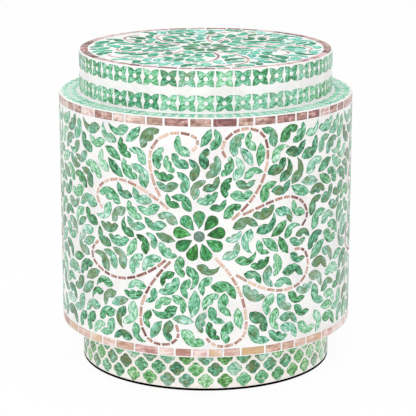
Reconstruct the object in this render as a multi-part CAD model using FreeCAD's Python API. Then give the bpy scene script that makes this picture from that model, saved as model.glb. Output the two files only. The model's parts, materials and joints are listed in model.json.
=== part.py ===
import FreeCAD, Part
import cmath
import math
import os
import random

V = FreeCAD.Vector

# Overall sizes in millimetres. The origin is the middle of the underside, +Z is up
# and the flower in the middle of the front panel looks towards -Y.
drum_diameter = 380.0
drum_height = 303.0
riser_diameter = 327.0
riser_height = 54.0
plinth_diameter = 327.0
plinth_height = 53.0
pad_thickness = 3.0

# White resin coat and the shell chips bedded in it
coat_thickness = 2.5
chip_thickness = 1.2
chip_proud = 0.1
rim_radius = 1.0
cut_overshoot = 1.0
same_place = 0.01
fewest_sectors = 3

# Carcass of fibreboard discs and bent plywood hoops
disc_thickness = 12.0
hoop_thickness = 4.0
former_width = 36.0
post_count = 6
post_width = 44.0
post_depth = 24.0
block_count = 6
block_width = 60.0
block_depth = 30.0
notch_clearance = 0.5

# Dowels and countersunk screws
dowel_diameter = 8.0
dowel_length = 30.0
dowel_in_disc = 8.0
screw_diameter = 4.0
screw_head_diameter = 8.0
screw_head_height = 2.6
screw_bite = 9.0
screw_clearance = 0.5

# Brown brick borders
brick_height = 9.3
brick_pitch = 24.8
brick_gap = 2.8
brick_unevenness = 0.3
border_margin = 1.6
border_gap = 2.5

# Tiles on the riser, the ledge and the plinth
tile_pitch = 22.8
tile_gap = 1.8
tile_hole = 6.0
ledge_tile_hole = 9.0
riser_band = 10.0
riser_margin = 2.0
ledge_margin = 3.4
lozenge_rows = 3
lozenge_pitch = 24.6
lozenge_gap = 4.6
lozenge_height = 18.5
plinth_margin = 0.8

# Flower, vines and leaves
panel_count = 3
petal_count = 9
petal_length = 23.0
petal_width = 15.5
petal_start = 9.5
eye_diameter = 14.0
vine_width = 3.4
vine_piece = 11.0
vine_gap = 2.2
vine_unevenness = 0.2
vine_taper = 0.3
leaf_length = 33.0
leaf_width = 16.5
leaf_unevenness = 0.12
leaf_area = 500.0
leaf_turn = 0.75
least_gap = 1.4
top_vine_count = 5
pattern_seed = 11

# How the leaves settle into their places: gaps in millimetres, the rest as shares and counts
settle_gap = 1.4
settle_squeeze = 3.0
settle_steps = 110
settle_pace = 0.25
settle_turn = 1.5
settle_growth = 1.02
settle_shrink = 0.985
settle_start = 0.8
start_spread = 0.5
look_again = 15
look_reach = 1.3
fit_shares = (1.0, 0.95, 0.9, 0.85, 0.8, 0.74)
jostle_rounds = 55
jostle_shift = 1.2
jostle_turn = 0.12
jostle_growth = 1.025
outline_step = 2.2
spine_count = 5

# Vines of one drum panel, in hundredths of its half width and half height
panel_flower = (-4, 3)
panel_vines = [
    [(-23, 27), (-43, 45), (-60, 49), (-75, 35), (-70, 19)],
    [(-23, 29), (-34, 58), (-33, 83), (-15, 96), (-5, 90), (-9, 79)],
    [(10, 12), (29, 36), (39, 72), (35, 94), (18, 97), (10, 83), (13, 73)],
    [(23, 22), (43, 32), (60, 32), (69, 18), (64, 4)],
    [(6, -17), (19, -42), (25, -69), (23, -92), (8, -99), (0, -90)],
    [(11, -25), (30, -43), (53, -52), (68, -43), (69, -22), (58, -16)],
    [(-22, -21), (-38, -52), (-42, -72), (-36, -96), (-20, -96), (-19, -78)],
    [(-25, -20), (-43, -37), (-65, -41), (-81, -27), (-74, -11)],
]

# Vines of one arm of the top, in hundredths of its field's radius
arm_vines = [
    [(26, 2), (48, 14), (72, 14), (90, -4), (86, -20)],
    [(30, -2), (52, -6), (70, -24), (64, -40)],
]

# Outlines in shares of length and width: the start, then each arc's middle and end
leaf_outlines = {
    "kidney": [(-0.5, -0.24), (-0.08, 0.5), (0.5, -0.34),
               (0.27, -0.33), (0.06, -0.06), (-0.24, -0.46), (-0.5, -0.24)],
    "cashew": [(-0.5, -0.2), (-0.02, 0.5), (0.5, -0.5),
               (0.3, -0.2), (0.05, -0.08), (-0.22, -0.44), (-0.5, -0.2)],
    "mitten": [(-0.5, -0.1), (0.0, 0.5), (0.5, -0.16),
               (0.3, -0.44), (0.1, -0.08), (-0.22, -0.5), (-0.5, -0.1)],
    "scalloped": [(-0.5, -0.2), (-0.06, 0.5), (0.5, -0.24), (0.36, -0.36), (0.21, -0.17),
                  (0.03, -0.42), (-0.14, -0.2), (-0.33, -0.42), (-0.5, -0.2)],
    "almond": [(-0.5, -0.06), (-0.04, 0.44), (0.5, -0.06), (-0.06, -0.4), (-0.5, -0.06)],
}
leaf_mix = ["scalloped", "kidney", "mitten", "scalloped", "cashew", "kidney", "kidney", "almond"]
petal_outline = [(-0.5, 0.0), (-0.1, 0.38), (0.2, 0.5), (0.5, 0.0),
                 (0.2, -0.5), (-0.1, -0.38), (-0.5, 0.0)]
# A quarter of a lozenge and of a tile, from the middle of the upper side to the middle of the right one
lozenge_quarter = [(0.0, 0.5), (0.19, 0.42), (0.28, 0.27), (0.44, 0.17), (0.5, 0.0)]
tile_quarter = [(0.0, 0.31), (0.2, 0.46), (0.5, 0.5), (0.47, 0.2), (0.36, 0.0)]

# Levels and radii worked out from the sizes above
drum_radius = drum_diameter / 2
riser_radius = riser_diameter / 2
plinth_radius = plinth_diameter / 2
drum_base = plinth_height
ledge_level = drum_base + drum_height
top_level = ledge_level + riser_height
floor_level = drum_base + coat_thickness
deck_level = ledge_level - coat_thickness
drum_middle = drum_base + drum_height / 2
drum_bore = drum_radius - coat_thickness - hoop_thickness
riser_bore = riser_radius - coat_thickness - hoop_thickness
plinth_bore = plinth_radius - coat_thickness - hoop_thickness


def cylinder(radius, low, high):
    return Part.makeCylinder(radius, high - low, V(0, 0, low))


def ring(inner, outer, low, high):
    return cylinder(outer, low, high).cut(cylinder(inner, low, high))


def turned(shape, degrees):
    copy = shape.copy()
    copy.rotate(V(0, 0, 0), V(0, 0, 1), degrees)
    return copy


def around(shape, count, first=0.0):
    return [turned(shape, first + 360.0 * i / count) for i in range(count)]


# Flat chip outlines

def outline(points, length, width):
    spots = [V(x * length, y * width, 0) for x, y in points]
    arcs = [Part.Arc(spots[i], spots[i + 1], spots[i + 2]).toShape()
            for i in range(0, len(spots) - 2, 2)]
    return Part.Face(Part.Wire(arcs))


def four_quarters(quarter):
    half = quarter + [(x, -y) for x, y in reversed(quarter[:-1])]
    return half + [(-x, y) for x, y in reversed(half[:-1])]


def leaf_face(kind, length, hand):
    points = [(x, hand * y) for x, y in leaf_outlines[kind]]
    return outline(points, length, leaf_width * length / leaf_length)


def bar_face(length, width):
    return Part.makePlane(length, width, V(-length / 2, -width / 2, 0))


def disc_face(diameter):
    return Part.Face(Part.Wire(Part.makeCircle(diameter / 2)))


def tile_face(width, height, hole):
    return outline(four_quarters(tile_quarter), width, height).cut(disc_face(hole)).Faces[0]


# A chip on a flat level, and one on a round side: flat at the back, ground to the curve in front

def flat_chip(face, level, at, heading):
    chip = face.extrude(V(0, 0, chip_thickness))
    chip.rotate(V(0, 0, 0), V(0, 0, 1), math.degrees(cmath.phase(heading)))
    chip.translate(V(at.real, at.imag, level - chip_thickness))
    return chip


def round_chip(face, radius, middle, at, heading):
    chip = face.extrude(V(0, 0, 2 * chip_thickness))
    chip.rotate(V(0, 0, 0), V(0, 0, 1), math.degrees(cmath.phase(heading)))
    chip.rotate(V(0, 0, 0), V(1, 0, 0), 90)
    chip.translate(V(0, chip_thickness - radius, middle + at.imag))
    front = cylinder(radius, chip.BoundBox.ZMin - cut_overshoot, chip.BoundBox.ZMax + cut_overshoot)
    return turned(chip.common(front).Solids[0], math.degrees(at.real / radius))


# Borders of bricks of uneven length

def bricks(inner, outer, low, high, sweep, draw):
    corners = [V(inner, 0, low), V(outer, 0, low), V(outer, 0, high), V(inner, 0, high), V(inner, 0, low)]
    section = Part.Face(Part.makePolygon(corners))
    count = max(1, round(math.radians(sweep) * outer / brick_pitch))
    shares = [1 + brick_unevenness * draw.uniform(-1, 1) for i in range(count)]
    gap = math.degrees(brick_gap / outer)
    start = -90.0 - sweep / 2
    made = []
    for share in shares:
        span = sweep * share / sum(shares)
        made.append(turned(section.revolve(V(0, 0, 0), V(0, 0, 1), span - gap), start + gap / 2))
        start += span
    return made


# Where vines and leaves go. Places are complex numbers: along the panel, then up it.

def step_between(a, b, period):
    step = b - a
    if period:
        step -= period * round(step.real / period)
    return step


def vine_pieces(points, scale_x, scale_y, draw):
    curve = Part.BSplineCurve()
    curve.interpolate([V(x * scale_x / 100, y * scale_y / 100, 0) for x, y in points])
    total = curve.length()
    count = max(1, round(total / (vine_piece + vine_gap)))
    shares = [1 + vine_taper * (1 - 2 * i / count) + vine_unevenness * draw.uniform(-1, 1)
              for i in range(count)]
    start = 0.0
    for share in shares:
        end = start + total * share / sum(shares)
        spots = [curve.value(curve.parameterAtDistance(at, curve.FirstParameter))
                 for at in (start, end - vine_gap)]
        yield [complex(spot.x, spot.y) for spot in spots]
        start = end


def vine_discs(piece):
    a, b = piece
    steps = math.ceil(abs(b - a) / vine_width)
    return [(a + (b - a) * i / steps, vine_width / 2) for i in range(steps + 1)]


def forked(vines, flower):
    # A vine starts where its pieces clear the flower and the vines before it
    kept = []
    taken = list(flower)
    for vine in vines:
        free = [piece for piece in vine
                if all(abs(a - b) > a_radius + b_radius + least_gap / 2
                       for a, a_radius in vine_discs(piece) for b, b_radius in taken)]
        kept += free
        taken += [disc for piece in free for disc in vine_discs(piece)]
    return kept


def spine_discs(face):
    # Discs along the middle of a chip that fill its outline
    spots = outline_spots(face)
    low = min(p.real for p in spots)
    share = (max(p.real for p in spots) - low) / spine_count
    discs = []
    for i in range(spine_count):
        heights = [p.imag for p in spots if i <= (p.real - low) / share <= i + 1]
        middle = complex(low + (i + 0.5) * share, (min(heights) + max(heights)) / 2)
        discs.append((middle, (max(heights) - min(heights)) / 2))
    return discs


def outline_spots(face):
    return [complex(p.x, p.y) for p in face.OuterWire.discretize(Distance=outline_step)]


def placed(spots, leaf):
    # Places along a leaf of full length, moved to where the leaf is
    turn = leaf["heading"] * leaf["length"] / leaf_length
    if leaf["hand"] < 0:
        spots = [spot.conjugate() for spot in spots]
    return [leaf["at"] + turn * spot for spot in spots]


def leaf_discs(leaf):
    spots, radii = zip(*leaf_spines[leaf["kind"]])
    size = leaf["length"] / leaf_length
    return [(spot, radius * size) for spot, radius in zip(placed(spots, leaf), radii)]


def scattered_leaves(width, height, flower, draw):
    cell = math.sqrt(leaf_area)
    rows = max(1, round(height / cell))
    columns = max(1, round(width / cell))
    leaves = []
    for row in range(rows):
        for column in range(columns):
            x = (column + (row % 2) / 2 + draw.uniform(0, start_spread)) / columns - 0.5
            y = (row + 0.5 + draw.uniform(-0.5, 0.5) * start_spread) / rows - 0.5
            at = complex(x * width, y * height)
            away = cmath.phase(at - flower) + draw.uniform(-leaf_turn, leaf_turn)
            leaves.append({"at": at, "heading": cmath.rect(1, away),
                           "length": settle_start * leaf_length,
                           "full": leaf_length * (1 + leaf_unevenness * draw.uniform(-1, 1)),
                           "kind": draw.choice(leaf_mix), "hand": draw.choice((-1, 1))})
    return leaves


def neighbours(leaves, blocked, period):
    reach = look_reach * leaf_length + settle_gap
    pairs = [(i, j) for i in range(len(leaves)) for j in range(i)
             if abs(step_between(leaves[i]["at"], leaves[j]["at"], period)) < reach]
    walls = [[disc for disc in blocked
              if abs(step_between(leaf["at"], disc[0], period)) < reach + disc[1]]
             for leaf in leaves]
    return pairs, walls


def shortfall(a, b, period):
    # How far disc b has to move off disc a to leave the gap that the leaves settle to
    between = step_between(a[0], b[0], period)
    short = a[1] + b[1] + settle_gap - abs(between)
    return between * short / abs(between) if short > 0 and between else 0


def settle(leaves, blocked, excess, period):
    # Leaves push each other, the vines and the border away, and grow where they have room
    for step in range(settle_steps):
        if step % look_again == 0:
            pairs, walls = neighbours(leaves, blocked, period)
        discs = [leaf_discs(leaf) for leaf in leaves]
        pushes = [[] for leaf in leaves]
        for i, j in pairs:
            for a in discs[i]:
                for b in discs[j]:
                    push = shortfall(a, b, period)
                    if push:
                        pushes[i].append((a[0], -push / 2))
                        pushes[j].append((b[0], push / 2))
        for i, leaf in enumerate(leaves):
            for a in discs[i]:
                pushes[i].append((a[0], -excess(*a)))
                pushes[i] += [(a[0], -shortfall(a, b, period)) for b in walls[i]]
            turn = sum(((spot - leaf["at"]).conjugate() * push).imag for spot, push in pushes[i])
            squeeze = sum(abs(push) for spot, push in pushes[i])
            growth = settle_growth if squeeze < settle_squeeze else settle_shrink
            leaf["at"] += settle_pace * sum(push for spot, push in pushes[i])
            leaf["heading"] *= cmath.rect(1, settle_turn * turn / leaf_length ** 2)
            leaf["length"] = min(max(leaf["length"] * growth, settle_start * leaf_length), leaf["full"])


def clears(spots, others, excess, period):
    if any(excess(spot, 0) for spot in spots):
        return False
    return all(abs(step_between(a, b, period)) > radius + least_gap
               for a in spots for b, radius in others)


def free_leaves(leaves, blocked, excess, period, draw):
    # Each leaf takes the largest size that clears those before it, then all jostle and grow into room left
    pairs, walls = neighbours(leaves, blocked, period)
    beside = [[] for leaf in leaves]
    for i, j in pairs:
        beside[i].append(j)
        beside[j].append(i)
    kept = {}
    rims = {}

    def near(i, leaf):
        reach = leaf["length"] / 2 + least_gap + jostle_shift
        discs = walls[i] + [(spot, 0) for j in beside[i] for spot in rims.get(j, ())]
        return [disc for disc in discs if abs(step_between(leaf["at"], disc[0], period)) < reach + disc[1]]

    def keep(i, leaf, others):
        spots = placed(leaf_rims[leaf["kind"]], leaf)
        if not clears(spots, others, excess, period):
            return False
        kept[i] = leaf
        rims[i] = spots
        return True

    for i, leaf in enumerate(leaves):
        others = near(i, leaf)
        any(keep(i, dict(leaf, length=leaf["length"] * share), others) for share in fit_shares)
    for step in range(jostle_rounds):
        for i, leaf in list(kept.items()):
            shift = jostle_shift * cmath.rect(draw.random(), draw.uniform(-math.pi, math.pi))
            turn = cmath.rect(1, jostle_turn * draw.uniform(-1, 1))
            size = min(leaf["length"] * jostle_growth, leaf["full"])
            moved = dict(leaf, at=leaf["at"] + shift, heading=leaf["heading"] * turn, length=size)
            keep(i, moved, near(i, moved))
    return list(kept.values())


def flower_places(centre):
    for i in range(petal_count):
        heading = cmath.rect(1, math.pi / 2 + 2 * math.pi * i / petal_count)
        yield centre + heading * (petal_start + petal_length / 2), heading


def flower_discs(centre):
    discs = [(centre, eye_diameter / 2)]
    for at, heading in flower_places(centre):
        discs += [(at + heading * spot, radius) for spot, radius in spine_discs(petal_face)]
    return discs


def vines_discs(pieces):
    return [disc for piece in pieces for disc in vine_discs(piece)]


petal_face = outline(petal_outline, petal_length, petal_width)
leaf_rims = {kind: outline_spots(leaf_face(kind, leaf_length, 1)) for kind in leaf_outlines}
leaf_spines = {kind: spine_discs(leaf_face(kind, leaf_length, 1)) for kind in leaf_outlines}

# Layout of one drum panel, repeated round the drum
panel_width = 2 * math.pi * drum_radius / panel_count
field_half = drum_height / 2 - border_margin - brick_height - border_gap
draw = random.Random(pattern_seed)
panel_centre = complex(panel_flower[0] * panel_width / 200, panel_flower[1] * field_half / 100)
panel_flower_discs = flower_discs(panel_centre)
drum_vine_places = forked([list(vine_pieces(points, panel_width / 2, field_half, draw))
                           for points in panel_vines], panel_flower_discs)


def panel_excess(spot, radius):
    over = abs(spot.imag) + radius - field_half
    return complex(0, math.copysign(over, spot.imag)) if over > 0 else 0


drum_blocked = panel_flower_discs + vines_discs(drum_vine_places)
drum_leaf_places = scattered_leaves(panel_width, 2 * field_half, panel_centre, draw)
settle(drum_leaf_places, drum_blocked, panel_excess, panel_width)
drum_leaf_places = free_leaves(drum_leaf_places, drum_blocked, panel_excess, panel_width, draw)

# Layout of the top, whose arms of vines repeat round its flower
top_field = riser_radius - border_margin - brick_height - border_gap
arm_vine_places = [list(vine_pieces(points, top_field, top_field, draw)) for points in arm_vines]
top_arms = [cmath.rect(1, 2 * math.pi * i / top_vine_count) for i in range(top_vine_count)]
top_flower_discs = flower_discs(0j)
top_vine_places = forked([[(a * arm, b * arm) for a, b in vine]
                          for vine in arm_vine_places for arm in top_arms], top_flower_discs)


def top_excess(spot, radius):
    over = abs(spot) + radius - top_field
    return spot / abs(spot) * over if over > 0 else 0


top_blocked = top_flower_discs + vines_discs(top_vine_places)
top_leaf_places = [leaf for leaf in scattered_leaves(2 * top_field, 2 * top_field, 0j, draw)
                   if abs(leaf["at"]) < top_field]
settle(top_leaf_places, top_blocked, top_excess, 0)
top_leaf_places = free_leaves(top_leaf_places, top_blocked, top_excess, 0, draw)
print("leaves on a panel", len(drum_leaf_places), "leaves on the top", len(top_leaf_places))

# Carcass

def hugging_box(width, depth, bore, low, high):
    # A block whose outer side is shaped to the inside of a hoop
    box = Part.makeBox(width, depth, high - low, V(-width / 2, -bore, low))
    return box.common(cylinder(bore, low, high))


def screw(length):
    head = Part.makeCone(screw_head_diameter / 2, screw_diameter / 2, screw_head_height)
    shank = cylinder(screw_diameter / 2, screw_head_height, length)
    return head.fuse(shank).removeSplitter()


def screw_ring(level, length, radius, count, first=0.0):
    made = screw(length)
    made.translate(V(0, -radius, level))
    return around(made, count, first)


def clearance_holes(level, depth, radius, count, first=0.0):
    hole = cylinder((screw_diameter + screw_clearance) / 2, level, level + depth)
    sink = Part.makeCone((screw_head_diameter + screw_clearance) / 2,
                         (screw_diameter + screw_clearance) / 2, screw_head_height, V(0, 0, level))
    made = hole.fuse(sink)
    made.translate(V(0, -radius, 0))
    return around(made, count, first)


nodes = {}
block_ring = plinth_bore - block_depth / 2
riser_block_ring = riser_bore - block_depth / 2
post_ring = drum_bore - post_depth / 2
plinth_floor_top = pad_thickness + disc_thickness
plinth_top_under = floor_level - disc_thickness
drum_floor_top = floor_level + disc_thickness
drum_top_under = deck_level - disc_thickness
riser_top_face = top_level - coat_thickness
riser_top_under = riser_top_face - disc_thickness
screw_length = disc_thickness + screw_bite

floor_screws = screw_ring(pad_thickness, screw_length, block_ring, block_count)
between_blocks = 180.0 / block_count
plinth_screws = screw_ring(plinth_top_under, screw_length, block_ring, block_count, between_blocks)
riser_screws = screw_ring(drum_top_under, screw_length, riser_block_ring, block_count)

nodes["base_pad"] = cylinder(plinth_radius - chip_proud, 0, pad_thickness)
plinth_floor = cylinder(plinth_bore, pad_thickness, plinth_floor_top)
nodes["plinth_floor"] = plinth_floor.cut(
    clearance_holes(pad_thickness, disc_thickness, block_ring, block_count))
plinth_block = hugging_box(block_width, block_depth, plinth_bore, plinth_floor_top, plinth_top_under)
nodes["plinth_blocks"] = [block.cut(floor_screws) for block in around(plinth_block, block_count)]
plinth_top = cylinder(plinth_bore, plinth_top_under, floor_level)
nodes["plinth_top"] = plinth_top.cut(
    clearance_holes(plinth_top_under, disc_thickness, block_ring, block_count, between_blocks))
nodes["plinth_hoop"] = ring(plinth_bore, plinth_bore + hoop_thickness, pad_thickness, floor_level)

post = hugging_box(post_width, post_depth, drum_bore, drum_floor_top, drum_top_under)
posts = around(post, post_count)
lower_dowel = cylinder(dowel_diameter / 2, 0, dowel_length)
lower_dowel.translate(V(0, -post_ring, drum_floor_top - dowel_in_disc))
upper_dowel = cylinder(dowel_diameter / 2, 0, dowel_length)
upper_dowel.translate(V(0, -post_ring, drum_top_under + dowel_in_disc - dowel_length))
dowels = around(lower_dowel, post_count) + around(upper_dowel, post_count)
nodes["post_dowels"] = dowels
nodes["drum_posts"] = [made.cut(dowels) for made in posts]
nodes["drum_floor"] = cylinder(drum_bore, floor_level, drum_floor_top).cut(dowels + plinth_screws)
drum_top = cylinder(drum_bore, drum_top_under, deck_level).cut(dowels)
nodes["drum_top"] = drum_top.cut(
    clearance_holes(drum_top_under, disc_thickness, riser_block_ring, block_count))
former_low = drum_middle - disc_thickness / 2
former = ring(drum_bore - former_width, drum_bore, former_low, former_low + disc_thickness)
notch = Part.makeBox(post_width + 2 * notch_clearance, post_depth + notch_clearance, disc_thickness,
                     V(-post_width / 2 - notch_clearance, -drum_bore, former_low))
nodes["drum_former"] = former.cut(around(notch, post_count))
nodes["drum_hoop"] = ring(drum_bore, drum_bore + hoop_thickness, floor_level, deck_level)

riser_block = hugging_box(block_width, block_depth, riser_bore, deck_level, riser_top_under)
nodes["riser_blocks"] = [block.cut(riser_screws) for block in around(riser_block, block_count)]
nodes["riser_hoop"] = ring(riser_bore, riser_bore + hoop_thickness, deck_level, riser_top_face)
nodes["riser_top"] = cylinder(riser_bore, riser_top_under, riser_top_face)
nodes["floor_screws"] = floor_screws
nodes["plinth_screws"] = plinth_screws
nodes["riser_screws"] = riser_screws

# Drum inlay: the chips of one panel, repeated round the drum

def drum_chip(face, at, heading):
    return round_chip(face, drum_radius, drum_middle, at, heading)


panel_sweep = 360.0 / panel_count
chip_floor = drum_radius - chip_thickness
brick_low = drum_base + border_margin
brick_high = ledge_level - border_margin - brick_height
eye_face = disc_face(eye_diameter)
panel_chips = {
    "drum_lower_bricks": bricks(chip_floor, drum_radius, brick_low, brick_low + brick_height,
                                panel_sweep, draw),
    "drum_upper_bricks": bricks(chip_floor, drum_radius, brick_high, brick_high + brick_height,
                                panel_sweep, draw),
    "drum_leaves": [drum_chip(leaf_face(leaf["kind"], leaf["length"], leaf["hand"]),
                              leaf["at"], leaf["heading"]) for leaf in drum_leaf_places],
    "drum_vines": [drum_chip(bar_face(abs(b - a), vine_width), (a + b) / 2, b - a)
                   for a, b in drum_vine_places],
    "drum_petals": [drum_chip(petal_face, at, heading) for at, heading in flower_places(panel_centre)],
    "drum_eyes": [drum_chip(eye_face, panel_centre, 1)],
}
for name, chips in panel_chips.items():
    nodes[name] = [turned(chip, panel_sweep * i) for i in range(panel_count) for chip in chips]

# Top inlay

brick_rim = riser_radius - border_margin
nodes["top_bricks"] = bricks(brick_rim - brick_height, brick_rim, top_level - chip_thickness, top_level,
                             360.0, draw)
nodes["top_leaves"] = [flat_chip(leaf_face(leaf["kind"], leaf["length"], leaf["hand"]), top_level,
                                 leaf["at"], leaf["heading"]) for leaf in top_leaf_places]
nodes["top_vines"] = [flat_chip(bar_face(abs(b - a), vine_width), top_level, (a + b) / 2, b - a)
                      for a, b in top_vine_places]
nodes["top_petals"] = [flat_chip(petal_face, top_level, at, heading) for at, heading in flower_places(0j)]
nodes["top_eye"] = [flat_chip(eye_face, top_level, 0j, 1)]

# Tiles of the riser and the ledge

riser_tile_height = (riser_height - riser_band - 2 * riser_margin) / 2
riser_tile_count = round(2 * math.pi * riser_radius / tile_pitch)
riser_tile_width = 2 * math.pi * riser_radius / riser_tile_count - tile_gap
riser_tile_face = tile_face(riser_tile_width, riser_tile_height, tile_hole)
for name, middle in (("riser_lower_tiles", ledge_level + riser_margin + riser_tile_height / 2),
                     ("riser_upper_tiles", top_level - riser_margin - riser_tile_height / 2)):
    nodes[name] = around(round_chip(riser_tile_face, riser_radius, middle, 0j, 1), riser_tile_count)

ledge_width = drum_radius - riser_radius
ledge_tile_depth = ledge_width - 2 * ledge_margin
ledge_ring = riser_radius + ledge_width / 2
ledge_tile_count = round(2 * math.pi * ledge_ring / tile_pitch)
ledge_tile_width = 2 * math.pi * (ledge_ring - ledge_tile_depth / 2) / ledge_tile_count - tile_gap / 2
ledge_tile_face = tile_face(ledge_tile_width, ledge_tile_depth, ledge_tile_hole)
ledge_tile = flat_chip(ledge_tile_face, ledge_level, complex(0, -ledge_ring), 1)
nodes["ledge_tiles"] = around(ledge_tile, ledge_tile_count)

# Staggered lozenges of the plinth

lozenge_count = round(2 * math.pi * plinth_radius / lozenge_pitch)
lozenge_width = 2 * math.pi * plinth_radius / lozenge_count - lozenge_gap
lozenge_low = pad_thickness + plinth_margin + lozenge_height / 2
lozenge_high = drum_base - plinth_margin - lozenge_height / 2
lozenge_face = outline(four_quarters(lozenge_quarter), lozenge_width, lozenge_height)
nodes["plinth_lozenges"] = []
for row in range(lozenge_rows):
    middle = lozenge_low + (lozenge_high - lozenge_low) * row / (lozenge_rows - 1)
    chip = round_chip(lozenge_face, plinth_radius, middle, 0j, 1)
    nodes["plinth_lozenges"] += around(chip, lozenge_count, 180.0 / lozenge_count * (row % 2))

# Resin coats with a pocket for each chip

def coat_section(inner, outer, low, high, rims):
    # Half section of a coat, with its rounded outer rims
    section = Part.Face(Part.makePolygon([V(inner, 0, low), V(outer, 0, low), V(outer, 0, high),
                                          V(inner, 0, high), V(inner, 0, low)]))
    if not rims:
        return section
    solid = section.extrude(V(0, 1, 0))
    edges = [edge for edge in solid.Edges if edge.BoundBox.YLength > same_place
             and abs(edge.BoundBox.XMin - outer) < same_place
             and any(abs(edge.BoundBox.ZMin - level) < same_place for level in rims)]
    rounded = solid.makeFillet(rim_radius, edges)
    return [face for face in rounded.Faces if face.BoundBox.YMax < same_place][0]


def pocketed(section, count, names):
    # One repeat of the coat is cut, then its turned copies are joined
    repeats = next((n for n in range(fewest_sectors, count + 1) if count % n == 0), count)
    half = math.pi / repeats
    sector = turned(section.revolve(V(0, 0, 0), V(0, 0, 1), 360.0 / repeats), -90.0 - 180.0 / repeats)
    chips = []
    for chip in (chip for name in names for chip in nodes[name]):
        spot = chip.CenterOfMass
        reach = chip.BoundBox.DiagonalLength / math.hypot(spot.x, spot.y)
        if abs(math.atan2(spot.x, -spot.y)) < half + reach:
            chips.append(chip)
    copies = around(sector.cut(Part.makeCompound(chips)), repeats)
    return copies[0].fuse(copies[1:]) if repeats > 1 else copies[0]


drum_section = coat_section(drum_radius - coat_thickness, drum_radius - chip_proud, drum_base,
                            ledge_level - chip_proud, [drum_base, ledge_level - chip_proud])
nodes["drum_coat"] = pocketed(drum_section, panel_count, panel_chips)
riser_section = coat_section(riser_radius - coat_thickness, riser_radius - chip_proud, deck_level,
                             top_level - chip_proud, [top_level - chip_proud])
nodes["riser_coat"] = pocketed(riser_section, riser_tile_count, ["riser_lower_tiles", "riser_upper_tiles"])
plinth_section = coat_section(plinth_radius - coat_thickness, plinth_radius - chip_proud, pad_thickness,
                              floor_level, [])
nodes["plinth_coat"] = pocketed(plinth_section, lozenge_count, ["plinth_lozenges"])
ledge_section = coat_section(riser_radius - chip_proud, drum_radius - coat_thickness, deck_level,
                             ledge_level - chip_proud, [])
nodes["ledge_coat"] = pocketed(ledge_section, ledge_tile_count, ["ledge_tiles"])
top_coat = cylinder(riser_radius - coat_thickness, riser_top_face, top_level - chip_proud)
top_chips = [chip for name in nodes if name.startswith("top_") for chip in nodes[name]]
nodes["top_coat"] = top_coat.cut(Part.makeCompound(top_chips))
nodes["underside_coat"] = ring(plinth_radius - chip_proud, drum_radius - coat_thickness,
                               drum_base, floor_level)

os.makedirs("parts", exist_ok=True)
for name, made in nodes.items():
    shape = Part.makeCompound(made) if isinstance(made, list) else made
    shape.exportStep("parts/" + name + ".step")
    print(name, len(shape.Solids), "solids")
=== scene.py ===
import json
import math

import bpy
import numpy as np
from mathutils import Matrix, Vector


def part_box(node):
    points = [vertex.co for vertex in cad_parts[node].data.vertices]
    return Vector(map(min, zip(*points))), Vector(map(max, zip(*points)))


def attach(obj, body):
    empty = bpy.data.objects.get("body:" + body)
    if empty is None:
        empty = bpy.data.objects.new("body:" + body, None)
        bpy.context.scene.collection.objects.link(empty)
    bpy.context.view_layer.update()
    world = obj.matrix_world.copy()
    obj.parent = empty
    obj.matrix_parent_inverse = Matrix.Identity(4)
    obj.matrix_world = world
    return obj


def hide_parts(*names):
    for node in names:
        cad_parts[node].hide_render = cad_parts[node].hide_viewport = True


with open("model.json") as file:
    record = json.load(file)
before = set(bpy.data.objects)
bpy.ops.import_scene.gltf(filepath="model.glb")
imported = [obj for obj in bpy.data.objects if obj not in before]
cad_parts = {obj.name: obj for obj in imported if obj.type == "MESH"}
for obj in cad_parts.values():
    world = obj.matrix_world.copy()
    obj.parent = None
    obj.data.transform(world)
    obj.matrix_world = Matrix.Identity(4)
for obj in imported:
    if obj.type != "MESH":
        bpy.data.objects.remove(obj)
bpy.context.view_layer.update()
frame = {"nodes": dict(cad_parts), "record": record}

cadNodes = frame["nodes"]
scene = bpy.context.scene
print("frame loaded,", len(cadNodes), "nodes")


# small tools

smoothAngle = math.radians(40)  # edges flatter than this are shaded smooth


def pickOnly(piece):
    for thing in bpy.context.selected_objects:
        thing.select_set(False)
    piece.select_set(True)
    bpy.context.view_layer.objects.active = piece


def dressPiece(piece, material, slot, *nodeNames):
    piece.data.materials.clear()
    piece.data.materials.append(material)
    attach(piece, "root")
    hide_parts(*nodeNames)


def paint(red, green, blue):  # from a screen colour, 0 to 255, by the sRGB curve to a socket's linear one
    shares = [value / 255 for value in (red, green, blue)]
    return [s / 12.92 if s <= 0.04045 else ((s + 0.055) / 1.055) ** 2.4 for s in shares] + [1.0]


def startMaterial(name):
    material = bpy.data.materials.new(name)
    material.use_nodes = True
    return material, material.node_tree, material.node_tree.nodes["Principled BSDF"]


def addNode(tree, kind, sockets=None, **settings):  # a socket gets a value, or a link from a node
    node = tree.nodes.new("ShaderNode" + kind)
    for key, value in settings.items():
        setattr(node, key, value)
    for key, value in (sockets or {}).items():
        if isinstance(value, bpy.types.NodeSocket):
            tree.links.new(value, node.inputs[key])
        else:
            node.inputs[key].default_value = value
    return node


def addMath(tree, operation, *values):
    return addNode(tree, "Math", dict(enumerate(values)), operation=operation).outputs[0]


def addRamp(tree, factor, stops):
    node = addNode(tree, "ValToRGB", {"Fac": factor})
    marks = node.color_ramp.elements
    while len(marks) < len(stops):
        marks.new(0.5)
    for mark, (place, colour) in zip(marks, stops):
        mark.position = place
        mark.color = paint(*colour)
    return node.outputs["Color"]


def addBump(tree, shader, height, grain):
    bump = addNode(tree, "Bump", {"Height": height, "Strength": grain["bump"],
                                  "Distance": grain["bumpHeight"]})
    tree.links.new(bump.outputs["Normal"], shader.inputs["Normal"])


def addSurface(tree, shader, wear, height, grain):  # an uneven polish, and a faint relief
    low, high = grain["polish"]
    polish = addNode(tree, "MapRange", {"Value": wear, "To Min": low, "To Max": high})
    tree.links.new(polish.outputs["Result"], shader.inputs["Roughness"])
    addBump(tree, shader, height, grain)


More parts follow.
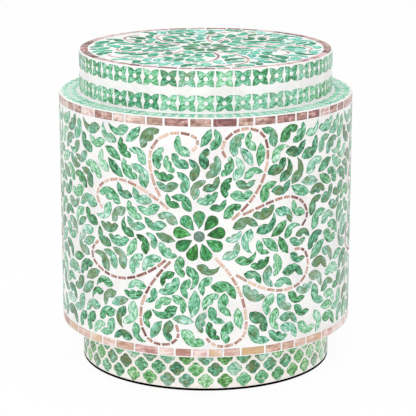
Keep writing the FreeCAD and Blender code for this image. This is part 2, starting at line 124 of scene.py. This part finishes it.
def seenRays(tree):  # 1 where the camera sees a surface, also in a gloss or through glass
    rays = addNode(tree, "LightPath").outputs
    seen = addMath(tree, "MAXIMUM", rays["Is Camera Ray"], rays["Is Glossy Ray"])
    return addMath(tree, "MAXIMUM", seen, rays["Is Transmission Ray"])


# shell chips: each chip has its own tone, cloudy inside, streaked lengthwise, darker at its rim: partly a
# dark glue line, partly painted shade where the chip meets the ground

leafLook = {"stops": [(0.0, (12, 80, 40)), (0.2, (42, 128, 78)), (0.42, (86, 166, 122)),
                      (0.62, (122, 192, 157)), (0.82, (163, 214, 188)), (1.0, (208, 238, 224))],
            "tint": (118, 120, 72), "tinted": 0.3, "tone": 0.56, "drift": 0.4, "driftScale": 9,
            "clouds": 2.0, "cloudScale": 120, "streaks": 1.8, "streakScale": 500, "stretch": 0.3,
            "rimDepth": 0.55, "rimRich": 1.0, "gloss": 0.5, "hues": 0.06}
# painted light: a lit copy of the side leaf shell for the top, recoloured to how the top looks under this
# light, its gloss turned down
topLeafLitLook = dict(
    leafLook, gloss=0.03, tinted=0.0, tone=0.75, clouds=1.8, rimDepth=0.4, rimRich=0.3, hues=0.03,
    stops=[(0.0, (0, 92, 52)), (0.2, (4, 128, 82)), (0.42, (22, 162, 119)), (0.62, (62, 192, 158)),
           (0.82, (118, 217, 195)), (1.0, (184, 240, 228))])
tileLook = {"stops": [(0.0, (18, 104, 52)), (0.25, (58, 150, 96)), (0.5, (104, 188, 140)),
                      (0.75, (146, 212, 176)), (1.0, (200, 238, 220))],
            "tint": (128, 150, 104), "tinted": 0.05, "tone": 0.45, "drift": 0.4, "driftScale": 9,
            "clouds": 2.2, "cloudScale": 150, "streaks": 2.0, "streakScale": 500, "stretch": 0.45,
            "rimDepth": 0.45, "rimRich": 0.8, "gloss": 0.5, "hues": 0.04}
# painted light: a lit copy of the tile shell for the upward ledge, paler for the light and reflection it
# catches from above, its gloss turned down
ledgeLitLook = dict(
    tileLook, gloss=0.03, rimDepth=0.3, rimRich=0.2,
    stops=[(0.0, (88, 192, 150)), (0.5, (144, 224, 192)), (1.0, (212, 245, 232))])
lozengeLook = {"stops": [(0.0, (24, 92, 44)), (0.25, (64, 146, 92)), (0.5, (108, 180, 136)),
                         (0.75, (158, 207, 172)), (1.0, (210, 235, 214))],
               "tint": (128, 110, 68), "tinted": 0.3, "tone": 0.6, "drift": 0.4, "driftScale": 9,
               "clouds": 2.2, "cloudScale": 150, "streaks": 1.9, "streakScale": 500, "stretch": 0.45,
               "rimDepth": 0.5, "rimRich": 0.8, "gloss": 0.5, "hues": 0.13}
petalLook = {"stops": [(0.0, (6, 74, 26)), (0.35, (26, 122, 52)), (0.65, (58, 157, 88)),
                       (1.0, (126, 198, 148))],
             "tint": (134, 140, 70), "tinted": 0.0, "tone": 0.5, "drift": 0.2, "driftScale": 9,
             "clouds": 2.0, "cloudScale": 130, "streaks": 1.8, "streakScale": 500, "stretch": 0.3,
             "rimDepth": 0.72, "rimRich": 0.6, "gloss": 0.5, "hues": 0.05}
# painted light: a lit copy of the petal shell for the top, recoloured to how the top looks under this
# light, its gloss turned down
topPetalLitLook = dict(
    petalLook, gloss=0.03, rimDepth=0.25, rimRich=0.2,
    stops=[(0.0, (0, 80, 36)), (0.35, (6, 116, 62)), (0.65, (34, 148, 96)), (1.0, (108, 192, 152))])
eyeLook = {"stops": [(0.0, (56, 94, 78)), (0.5, (98, 130, 116)), (1.0, (160, 180, 168))],
           "tint": (128, 128, 110), "tinted": 0.15, "tone": 0.3, "drift": 0.2, "driftScale": 9,
           "clouds": 2.0, "cloudScale": 220, "streaks": 1.2, "streakScale": 520, "stretch": 0.6,
           "rimDepth": 0.35, "rimRich": 0.2, "gloss": 0.5, "hues": 0.0}
darkBrickLook = {"stops": [(0.0, (122, 84, 74)), (0.22, (156, 114, 104)), (0.45, (192, 152, 140)),
                           (0.7, (217, 186, 176)), (1.0, (242, 224, 216))],
                 "tint": (182, 148, 132), "tinted": 0.4, "tone": 0.9, "drift": 0.3, "driftScale": 8,
                 "clouds": 1.9, "cloudScale": 90, "streaks": 1.6, "streakScale": 300, "stretch": 0.2,
                 "rimDepth": 0.28, "rimRich": 0.2, "gloss": 0.5, "hues": 0.05}
# painted light: a lit copy of the brick shell for the top, recoloured to how the top looks under this
# light, its gloss turned down
topBrickLitLook = dict(
    darkBrickLook, gloss=0.03, tint=(166, 138, 134),
    stops=[(0.0, (92, 52, 50)), (0.22, (130, 84, 80)), (0.45, (164, 116, 110)), (0.7, (194, 152, 146)),
           (1.0, (234, 212, 206))])
paleBrickLook = dict(
    darkBrickLook, tint=(208, 156, 116), rimDepth=0.2, clouds=1.4,
    stops=[(0.0, (172, 126, 110)), (0.25, (200, 160, 144)), (0.5, (217, 183, 170)), (0.75, (231, 205, 195)),
           (1.0, (244, 227, 220))])
vineLook = {"stops": [(0.0, (106, 62, 54)), (0.3, (148, 100, 88)), (0.6, (196, 150, 130)),
                      (1.0, (236, 206, 184))],
            "tint": (158, 122, 122), "tinted": 0.2, "tone": 0.7, "drift": 1.4, "driftScale": 7,
            "clouds": 1.0, "cloudScale": 160, "streaks": 1.0, "streakScale": 600, "stretch": 0.3,
            "rimDepth": 0.25, "rimRich": 0.2, "gloss": 0.5, "hues": 0.02}
# painted light: a lit copy of the vine shell for the top, recoloured to how the top looks under this light,
# its gloss turned down
topVineLitLook = dict(
    vineLook, gloss=0.03,
    stops=[(0.0, (134, 88, 78)), (0.3, (178, 136, 122)), (0.6, (214, 178, 162)), (1.0, (240, 220, 206))])

# what all shell has in common; a chip's depth is where in the noise it is cut from
shellGrain = {"driftDetail": 1.0, "cloudDetail": 6.0, "cloudRough": 0.62, "cloudWarp": 1.2,
              "streakDetail": 2.0, "streakWarp": 0.4, "patchScale": 0.6, "patchDetail": 4.0,
              "patchWeight": 2.0, "stainStart": 1.9, "stainFull": 2.4, "stainMost": 0.7, "rimFade": 0.4,
              "polish": (0.24, 0.44), "bump": 0.08, "bumpHeight": 0.0003, "coat": 0.3, "depthSpread": 9}


def shellMaterial(name, look):
    material, tree, shader = startMaterial(name)
    tone = addNode(tree, "Attribute", attribute_name="chipTone").outputs["Fac"]
    rim = addNode(tree, "Attribute", attribute_name="chipRim").outputs["Fac"]
    place = addNode(tree, "Attribute", attribute_name="chipPlace").outputs["Vector"]
    spot = addNode(tree, "TexCoord").outputs["Object"]
    drift = addNode(tree, "TexNoise", {"Vector": spot, "Scale": look["driftScale"],
                                       "Detail": shellGrain["driftDetail"]})
    clouds = addNode(tree, "TexNoise", {"Vector": place, "Scale": look["cloudScale"],
                                        "Detail": shellGrain["cloudDetail"],
                                        "Roughness": shellGrain["cloudRough"],
                                        "Distortion": shellGrain["cloudWarp"]})
    along = addNode(tree, "Mapping", {"Vector": place, "Scale": (look["stretch"], 1.0, 1.0)})
    streaks = addNode(tree, "TexNoise", {"Vector": along.outputs[0], "Scale": look["streakScale"],
                                         "Detail": shellGrain["streakDetail"],
                                         "Distortion": shellGrain["streakWarp"]})
    shade = addMath(tree, "MULTIPLY_ADD", tone, look["tone"], 0.5 - look["tone"] / 2)
    for noise, share in ((drift, look["drift"]), (clouds, look["clouds"]), (streaks, look["streaks"])):
        swing = addMath(tree, "SUBTRACT", noise.outputs["Fac"], 0.5)
        shade = addMath(tree, "MULTIPLY_ADD", swing, share, shade)
    colour = addRamp(tree, shade, look["stops"])
    # some chips are stained with a second colour, in patches
    stain = addNode(tree, "Attribute", attribute_name="chipStain").outputs["Fac"]
    hue = addMath(tree, "MULTIPLY_ADD", stain, look["hues"], 0.5 - look["hues"] / 2)
    patches = addNode(tree, "TexNoise", {"Vector": place,
                                         "Scale": look["cloudScale"] * shellGrain["patchScale"],
                                         "Detail": shellGrain["patchDetail"]})
    stain = addMath(tree, "MULTIPLY_ADD", patches.outputs["Fac"], shellGrain["patchWeight"], stain)
    stained = addNode(tree, "MapRange", {"Value": stain,
                                         "From Min": shellGrain["stainStart"] - look["tinted"],
                                         "From Max": shellGrain["stainFull"] - look["tinted"],
                                         "To Max": shellGrain["stainMost"]})
    colour = addNode(tree, "Mix", {0: stained.outputs["Result"], 6: colour, 7: paint(*look["tint"])},
                     data_type="RGBA").outputs[2]
    # painted shade, in part: the rim is dimmed and richer in colour, partly the dark glue line round a
    # chip, partly shade where its edge meets the ground
    edge = addNode(tree, "MapRange", {"Value": rim, "From Max": shellGrain["rimFade"]},
                   interpolation_type="SMOOTHSTEP").outputs["Result"]
    dimming = addMath(tree, "MULTIPLY_ADD", edge, -look["rimDepth"], 1.0)
    richness = addMath(tree, "MULTIPLY_ADD", edge, look["rimRich"], 1.0)
    rimmed = addNode(tree, "HueSaturation", {"Color": colour, "Hue": hue, "Value": dimming,
                                             "Saturation": richness})
    tree.links.new(rimmed.outputs["Color"], shader.inputs["Base Color"])
    addSurface(tree, shader, streaks.outputs["Fac"], streaks.outputs["Fac"], shellGrain)
    shader.inputs["Specular IOR Level"].default_value = look["gloss"]
    shader.inputs["Coat Weight"].default_value = look["gloss"] * shellGrain["coat"]
    return material


def markChips(piece, radius, inner, seed):  # per chip: its shade, and a place along and across it
    mesh = piece.data
    count = len(mesh.vertices)
    spots = np.empty(count * 3)
    mesh.vertices.foreach_get("co", spots)
    spots = spots.reshape(-1, 3)
    ends = np.empty(len(mesh.edges) * 2, dtype=np.int64)
    mesh.edges.foreach_get("vertices", ends)
    first, second = ends.reshape(-1, 2).T
    label = np.arange(count)
    while True:  # the lowest number spreads along the edges until each chip has one
        lowest = np.minimum(label[first], label[second])
        spread = label.copy()
        np.minimum.at(spread, first, lowest)
        np.minimum.at(spread, second, lowest)
        spread = spread[spread]
        if np.array_equal(spread, label):
            break
        label = spread
    which = np.unique(label, return_inverse=True)[1]
    chipCount = which.max() + 1
    size = np.bincount(which)
    mean = np.stack([np.bincount(which, spots[:, axis]) / size for axis in range(3)], axis=1)[which]
    if radius:
        turn = np.arctan2(mean[:, 0], -mean[:, 1])
        wide = (np.arctan2(spots[:, 0], -spots[:, 1]) - turn + math.pi) % (2 * math.pi) - math.pi
        wide = wide * radius
        tall = spots[:, 2] - mean[:, 2]
    else:
        wide = spots[:, 0] - mean[:, 0]
        tall = spots[:, 1] - mean[:, 1]
    wideSpread = np.bincount(which, wide * wide)
    tallSpread = np.bincount(which, tall * tall)
    slantSpread = np.bincount(which, wide * tall)
    lean = (0.5 * np.arctan2(2 * slantSpread, wideSpread - tallSpread))[which]  # of its long axis
    draw = np.random.default_rng(seed)
    tones, stains, depths = draw.random((3, chipCount))
    place = np.stack([wide * np.cos(lean) + tall * np.sin(lean),
                      tall * np.cos(lean) - wide * np.sin(lean),
                      depths[which] * shellGrain["depthSpread"]], axis=1)
    rim = np.ones(count)
    rim[inner] = 0
    for name, values in (("chipTone", tones[which]), ("chipStain", stains[which]), ("chipRim", rim)):
        layer = mesh.attributes.new(name, "FLOAT", "POINT")
        layer.data.foreach_set("value", values.astype(np.float32))
    layer = mesh.attributes.new("chipPlace", "FLOAT_VECTOR", "POINT")
    layer.data.foreach_set("vector", place.astype(np.float32).ravel())
    return chipCount


# metres, facets in degrees, and as shares how far out a side or a front may face
chipCut = {"merge": 0.00002, "frontFacet": 2.0, "sideFacet": 17.0, "edgeDrop": 0.00015, "rimRise": 0.9,
           "rimMerge": 0.6, "flatHeight": 0.002, "sideShare": 0.5, "frontShare": 0.7}


def outwardShare(face, flat):  # 1 on a chip's front, 0 on its sides
    if flat:
        return face.normal.z
    reach = math.hypot(face.center.x, face.center.y)
    return (face.normal.x * face.center.x + face.normal.y * face.center.y) / reach


def chipPiece(name, nodeName, material, slot, rimWidth, seed):
    source = cadNodes[nodeName]
    piece = bpy.data.objects.new(name, source.data.copy())
    scene.collection.objects.link(piece)
    pickOnly(piece)
    bpy.ops.mesh.customdata_custom_splitnormals_clear()
    bpy.ops.object.mode_set(mode="EDIT")
    bpy.ops.mesh.select_mode(type="FACE")
    bpy.ops.mesh.select_all(action="SELECT")
    bpy.ops.mesh.remove_doubles(threshold=chipCut["merge"])
    frontFacet = math.radians(chipCut["frontFacet"])
    bpy.ops.mesh.dissolve_limited(angle_limit=frontFacet)
    bpy.ops.mesh.select_all(action="DESELECT")
    bpy.ops.object.mode_set(mode="OBJECT")
    low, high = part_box(nodeName)
    flat = high.z - low.z < chipCut["flatHeight"]
    mesh = piece.data
    radius = 0 if flat else max(math.hypot(v.co.x, v.co.y) for v in mesh.vertices)
    for face in mesh.polygons:
        face.select = abs(outwardShare(face, flat)) < chipCut["sideShare"]
    bpy.ops.object.mode_set(mode="EDIT")  # fewer, longer facets along the sawn sides
    bpy.ops.mesh.dissolve_limited(angle_limit=math.radians(chipCut["sideFacet"]))
    bpy.ops.mesh.select_all(action="SELECT")
    bpy.ops.mesh.dissolve_limited(angle_limit=frontFacet, use_dissolve_boundaries=True)
    bpy.ops.mesh.select_all(action="DESELECT")
    bpy.ops.object.mode_set(mode="OBJECT")
    for face in mesh.polygons:
        onSide = abs(outwardShare(face, flat)) < chipCut["sideShare"]
        face.select = onSide and len(face.vertices) > 4
    bpy.ops.object.mode_set(mode="EDIT")  # sides on which an edge of the front ends
    bpy.ops.mesh.quads_convert_to_tris(ngon_method="BEAUTY")
    bpy.ops.mesh.select_all(action="DESELECT")
    bpy.ops.object.mode_set(mode="OBJECT")
    for face in mesh.polygons:
        face.select = outwardShare(face, flat) > chipCut["frontShare"]
    edgeDrop = chipCut["edgeDrop"]
    bpy.ops.object.mode_set(mode="EDIT")
    if flat:
        bpy.ops.transform.translate(value=(0, 0, -edgeDrop))
    else:
        share = 1 - edgeDrop / radius
        bpy.ops.transform.resize(value=(share, share, 1), center_override=(0, 0, 0))
    bpy.ops.mesh.inset(thickness=rimWidth, depth=edgeDrop * chipCut["rimRise"])
    # a narrow tip or notch is drawn together, where the rim would fold
    bpy.ops.mesh.remove_doubles(threshold=rimWidth * chipCut["rimMerge"])
    bpy.ops.object.mode_set(mode="OBJECT")
    inner = sorted({v for face in mesh.polygons if face.select for v in face.vertices})
    chipCount = markChips(piece, radius, inner, seed)
    bpy.ops.object.shade_smooth_by_angle(angle=smoothAngle)
    dressPiece(piece, material, slot, nodeName)
    mesh.calc_loop_triangles()
    print(name, chipCount, "chips", len(mesh.loop_triangles), "triangles")


leafShell = shellMaterial("leafShell", leafLook)
topLeafLitShell = shellMaterial("topLeafLitShell", topLeafLitLook)
tileShell = shellMaterial("tileShell", tileLook)
lozengeShell = shellMaterial("lozengeShell", lozengeLook)
petalShell = shellMaterial("petalShell", petalLook)
topPetalLitShell = shellMaterial("topPetalLitShell", topPetalLitLook)
eyeShell = shellMaterial("eyeShell", eyeLook)
ledgeLitShell = shellMaterial("ledgeLitShell", ledgeLitLook)
darkBrickShell = shellMaterial("darkBrickShell", darkBrickLook)
paleBrickShell = shellMaterial("paleBrickShell", paleBrickLook)
topBrickLitShell = shellMaterial("topBrickLitShell", topBrickLitLook)
vineShell = shellMaterial("vineShell", vineLook)
topVineLitShell = shellMaterial("topVineLitShell", topVineLitLook)

chipSets = [  # piece, node, material, slot, rim width, seed
    ("drumLeafChips", "drum_leaves", leafShell, "shell_green", 0.0007, 3),
    ("drumVineChips", "drum_vines", vineShell, "shell_tan", 0.0005, 4),
    ("drumPetalChips", "drum_petals", petalShell, "shell_deep_green", 0.0007, 5),
    ("drumEyeChips", "drum_eyes", eyeShell, "shell_grey_green", 0.0011, 6),
    ("drumLowerBrickChips", "drum_lower_bricks", paleBrickShell, "shell_brown", 0.0008, 7),
    ("drumUpperBrickChips", "drum_upper_bricks", darkBrickShell, "shell_brown", 0.0008, 8),
    ("topBrickChips", "top_bricks", topBrickLitShell, "shell_brown", 0.0008, 9),
    ("topLeafChips", "top_leaves", topLeafLitShell, "shell_green", 0.0007, 10),
    ("topVineChips", "top_vines", topVineLitShell, "shell_tan", 0.0005, 11),
    ("topPetalChips", "top_petals", topPetalLitShell, "shell_deep_green", 0.0007, 12),
    ("topEyeChip", "top_eye", eyeShell, "shell_grey_green", 0.0011, 13),
    ("riserLowerTileChips", "riser_lower_tiles", tileShell, "shell_green", 0.0006, 14),
    ("riserUpperTileChips", "riser_upper_tiles", tileShell, "shell_green", 0.0006, 15),
    ("ledgeTileChips", "ledge_tiles", ledgeLitShell, "shell_green", 0.0004, 16),
    ("plinthLozengeChips", "plinth_lozenges", lozengeShell, "shell_green", 0.0006, 17),
]
for chipSet in chipSets:
    chipPiece(*chipSet)
print("shell chips made")


# resin ground: smooth polished coats that the chips stand a hair proud of

coatLook = {"sides": 256, "sunk": 0.0002, "rounding": 0.001, "segments": 4,
            "stops": [(0.3, (233, 229, 228)), (0.5, (241, 240, 239)), (0.7, (247, 246, 245))],
            # painted light: the top's coat is a lit copy of the side coat, recoloured to how the top looks
            # under this light
            "topLitStops": [(0.3, (232, 235, 234)), (0.5, (240, 243, 242)), (0.7, (245, 248, 247))],
            # painted light: the plinth's coat is warmed to cream, the warm light thrown by the brown bricks
            # into the shade under the drum
            "footWarmBounceStops": [(0.3, (236, 228, 221)), (0.5, (245, 240, 234)), (0.7, (250, 247, 243))],
            "cloudScale": 24, "cloudDetail": 4.0, "cloudWarp": 0.5, "speckScale": 260, "speckDetail": 2.0,
            "speckWeight": 0.35, "polish": (0.25, 0.45), "bump": 0.05, "bumpHeight": 0.0002,
            "sideGloss": 0.5, "topGloss": 0.03, "coat": 0.2, "touch": 1e-5}


def resinMaterial(name, gloss, stops):
    material, tree, shader = startMaterial(name)
    spot = addNode(tree, "TexCoord").outputs["Object"]
    clouds = addNode(tree, "TexNoise", {"Vector": spot, "Scale": coatLook["cloudScale"],
                                        "Detail": coatLook["cloudDetail"],
                                        "Distortion": coatLook["cloudWarp"]})
    specks = addNode(tree, "TexNoise", {"Vector": spot, "Scale": coatLook["speckScale"],
                                        "Detail": coatLook["speckDetail"]})
    swing = addMath(tree, "SUBTRACT", specks.outputs["Fac"], 0.5)
    shade = addMath(tree, "MULTIPLY_ADD", swing, coatLook["speckWeight"], clouds.outputs["Fac"])
    tree.links.new(addRamp(tree, shade, stops), shader.inputs["Base Color"])
    addSurface(tree, shader, clouds.outputs["Fac"], specks.outputs["Fac"], coatLook)
    shader.inputs["Specular IOR Level"].default_value = gloss
    shader.inputs["Coat Weight"].default_value = gloss * coatLook["coat"]
    return material


sideResin = resinMaterial("sideResin", coatLook["sideGloss"], coatLook["stops"])
# painted light: the plinth's coat carries the warm bounce light of the bricks in its colour
footBounceResin = resinMaterial("footBounceResin", coatLook["sideGloss"], coatLook["footWarmBounceStops"])
# painted light: a lit copy of the side coat for the top, with its gloss turned down
topLitResin = resinMaterial("topLitResin", coatLook["topGloss"], coatLook["topLitStops"])


def coatPiece(name, nodeName, material, outer, inner, low, high, roundedLevels):
    ends = "NOTHING" if inner else "NGON"
    bpy.ops.object.select_all(action="DESELECT")
    bpy.ops.mesh.primitive_cylinder_add(vertices=coatLook["sides"], radius=outer, depth=high - low,
                                        end_fill_type=ends, location=(0, 0, (low + high) / 2))
    piece = bpy.context.object
    piece.name = name
    bpy.ops.object.transform_apply(location=True, rotation=True, scale=True)
    if inner:
        wall = piece.modifiers.new("wall", "SOLIDIFY")
        wall.thickness = outer - inner
        wall.offset = -1
        bpy.ops.object.modifier_apply(modifier="wall")
    if roundedLevels:  # the worn round on the coat's outer corners
        bpy.ops.object.mode_set(mode="EDIT")
        bpy.ops.mesh.select_mode(type="EDGE")
        bpy.ops.mesh.select_all(action="DESELECT")
        bpy.ops.object.mode_set(mode="OBJECT")
        mesh = piece.data
        touch = coatLook["touch"]
        for edge in mesh.edges:
            spots = [mesh.vertices[v].co for v in edge.vertices]
            edge.select = any(all(abs(s.z - level) < touch and math.hypot(s.x, s.y) > outer - touch
                                  for s in spots) for level in roundedLevels)
        bpy.ops.object.mode_set(mode="EDIT")
        bpy.ops.mesh.bevel(offset=coatLook["rounding"], segments=coatLook["segments"])
        bpy.ops.object.mode_set(mode="OBJECT")
    bpy.ops.object.shade_smooth_by_angle(angle=smoothAngle)
    dressPiece(piece, material, "resin_white", nodeName)


sunk = coatLook["sunk"]
boxOf = {name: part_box(name) for name in (
    "drum_coat", "riser_coat", "plinth_coat", "ledge_coat", "top_coat", "underside_coat",
    "drum_hoop", "riser_hoop", "plinth_hoop")}
rounds = ("drum", "riser", "plinth")
drumOut, riserOut, plinthOut = (boxOf[name + "_coat"][1].x - sunk for name in rounds)
drumIn, riserIn, plinthIn = (boxOf[name + "_hoop"][1].x for name in rounds)
drumFoot, drumHead = boxOf["drum_coat"][0].z, boxOf["drum_coat"][1].z - sunk
riserFoot, riserHead = boxOf["riser_coat"][0].z, boxOf["riser_coat"][1].z - sunk
coatPiece("drumGround", "drum_coat", sideResin, drumOut, drumIn, drumFoot, drumHead, [drumFoot, drumHead])
coatPiece("riserGround", "riser_coat", sideResin, riserOut, riserIn, riserFoot, riserHead, [riserHead])
coatPiece("plinthGround", "plinth_coat", footBounceResin, plinthOut, plinthIn, boxOf["plinth_coat"][0].z,
          boxOf["plinth_coat"][1].z, [])
coatPiece("ledgeGround", "ledge_coat", sideResin, drumIn, riserOut, boxOf["ledge_coat"][0].z, drumHead, [])
coatPiece("topGround", "top_coat", topLitResin, riserIn, 0, boxOf["top_coat"][0].z, riserHead, [])
coatPiece("undersideGround", "underside_coat", sideResin, drumIn, plinthOut, boxOf["underside_coat"][0].z,
          boxOf["underside_coat"][1].z, [])
print("resin ground made")


# timber, board, steel and felt of the carcass, which keep their CAD shapes

carcassLooks = {
    "felt_black": {"stops": [(0.2, (4, 4, 4)), (0.8, (14, 14, 13))], "scale": (900, 900, 900),
                   "rough": 0.95, "metal": 0.0, "gloss": 0.0},
    "fibreboard": {"stops": [(0.2, (150, 116, 82)), (0.8, (184, 150, 112))], "scale": (700, 700, 700),
                   "rough": 0.8, "metal": 0.0, "gloss": 0.5},
    "softwood": {"stops": [(0.25, (190, 148, 98)), (0.75, (222, 188, 140))], "scale": (160, 160, 9),
                 "rough": 0.7, "metal": 0.0, "gloss": 0.5},
    "plywood": {"stops": [(0.25, (186, 150, 108)), (0.75, (214, 184, 144))], "scale": (12, 180, 900),
                "rough": 0.7, "metal": 0.0, "gloss": 0.5},
    "beech": {"stops": [(0.25, (196, 150, 108)), (0.75, (220, 182, 140))], "scale": (260, 260, 20),
              "rough": 0.6, "metal": 0.0, "gloss": 0.5},
    "steel": {"stops": [(0.2, (150, 150, 150)), (0.8, (196, 196, 194))], "scale": (500, 500, 900),
              "rough": 0.35, "metal": 1.0, "gloss": 0.5},
}

carcassGrain = {"detail": 4.0, "warp": 0.5, "bump": 0.3, "bumpHeight": 0.0005}


def carcassMaterial(slot, look):
    material, tree, shader = startMaterial("carcass_" + slot)
    spot = addNode(tree, "TexCoord").outputs["Object"]
    along = addNode(tree, "Mapping", {"Vector": spot, "Scale": look["scale"]})
    grain = addNode(tree, "TexNoise", {"Vector": along.outputs[0], "Scale": 1.0,
                                       "Detail": carcassGrain["detail"],
                                       "Distortion": carcassGrain["warp"]})
    tree.links.new(addRamp(tree, grain.outputs["Fac"], look["stops"]), shader.inputs["Base Color"])
    addBump(tree, shader, grain.outputs["Fac"], carcassGrain)
    shader.inputs["Roughness"].default_value = look["rough"]
    shader.inputs["Metallic"].default_value = look["metal"]
    shader.inputs["Specular IOR Level"].default_value = look["gloss"]
    return material


carcassMaterials = {slot: carcassMaterial(slot, look) for slot, look in carcassLooks.items()}
dressed = [entry for entry in frame["record"]["subparts"] if entry["material_slot"] in carcassMaterials]
for entry in dressed:
    surface = cadNodes[entry["node"]].data
    surface.materials.clear()
    surface.materials.append(carcassMaterials[entry["material_slot"]])
print(len(dressed), "carcass nodes dressed")


# floor, backdrop light and lamps

studio = {"floorSize": 14.0, "floorColour": (252, 252, 252), "floorRough": 0.9, "floorGlow": 0.92,
          "floorFill": 0.5, "worldLight": 0.82,
          "frontLamp": {"place": (-0.3, -2.3, 1.2), "aim": (0, 0, 0.2), "size": 1.6, "power": 12.4},
          "topLamp": {"place": (-0.2, -0.1, 2.4), "aim": (0, 0, 0.3), "size": 2.0, "power": 11.5}}

bpy.ops.object.select_all(action="DESELECT")
bpy.ops.mesh.primitive_plane_add(size=studio["floorSize"], location=(0, 0, 0))
floor = bpy.context.object
floor.name = "studioFloor"
floorPaint, floorTree, floorShader = startMaterial("floorPaint")
floorShader.inputs["Base Color"].default_value = paint(*studio["floorColour"])
floorShader.inputs["Roughness"].default_value = studio["floorRough"]
floorShader.inputs["Specular IOR Level"].default_value = 0.0
# where it is seen, the floor glows nearly to white and keeps a soft shadow;
# to all else it glows by half, which lights the plinth from below
glow = addNode(floorTree, "Emission", {"Color": (1.0, 1.0, 1.0, 1.0), "Strength": 1.0})
glowShare = addMath(floorTree, "MULTIPLY_ADD", seenRays(floorTree),
                    studio["floorGlow"] - studio["floorFill"], studio["floorFill"])
blend = addNode(floorTree, "MixShader", {0: glowShare, 1: floorShader.outputs[0], 2: glow.outputs[0]})
floorTree.links.new(blend.outputs[0], floorTree.nodes["Material Output"].inputs["Surface"])
floor.data.materials.append(floorPaint)

world = bpy.data.worlds.new("studioWorld")
scene.world = world
world.use_nodes = True
sky = world.node_tree.nodes["Background"]
sky.inputs["Color"].default_value = (1.0, 1.0, 1.0, 1.0)
# white where it is seen, and dimmer as a light
skyLight = addMath(world.node_tree, "MULTIPLY_ADD", seenRays(world.node_tree),
                   1.0 - studio["worldLight"], studio["worldLight"])
world.node_tree.links.new(skyLight, sky.inputs["Strength"])


def addLamp(name, place, aim, size, power):
    lamp = bpy.data.lights.new(name, "AREA")
    lamp.size = size
    lamp.energy = power
    holder = bpy.data.objects.new(name, lamp)
    scene.collection.objects.link(holder)
    holder.location = place
    across, along, down = aim[0] - place[0], aim[1] - place[1], place[2] - aim[2]
    holder.rotation_euler = (math.atan2(math.hypot(across, along), down), 0, math.atan2(-across, along))


for lampName in ("frontLamp", "topLamp"):
    addLamp(lampName, **studio[lampName])

# camera at the photograph's place

eye = {"place": (0.0, -2.289, 0.791), "pitch": 14.587, "lens": 155.0, "sensor": 36.0, "shift": 0.0055}
lens = bpy.data.cameras.new("tableCamera")
lens.lens = eye["lens"]
lens.sensor_width = eye["sensor"]
lens.shift_x = eye["shift"]
camera = bpy.data.objects.new("tableCamera", lens)
scene.collection.objects.link(camera)
camera.location = eye["place"]
camera.rotation_euler = (math.radians(90 - eye["pitch"]), 0, 0)
scene.camera = camera
scene.view_settings.view_transform = "Standard"
print("studio set")
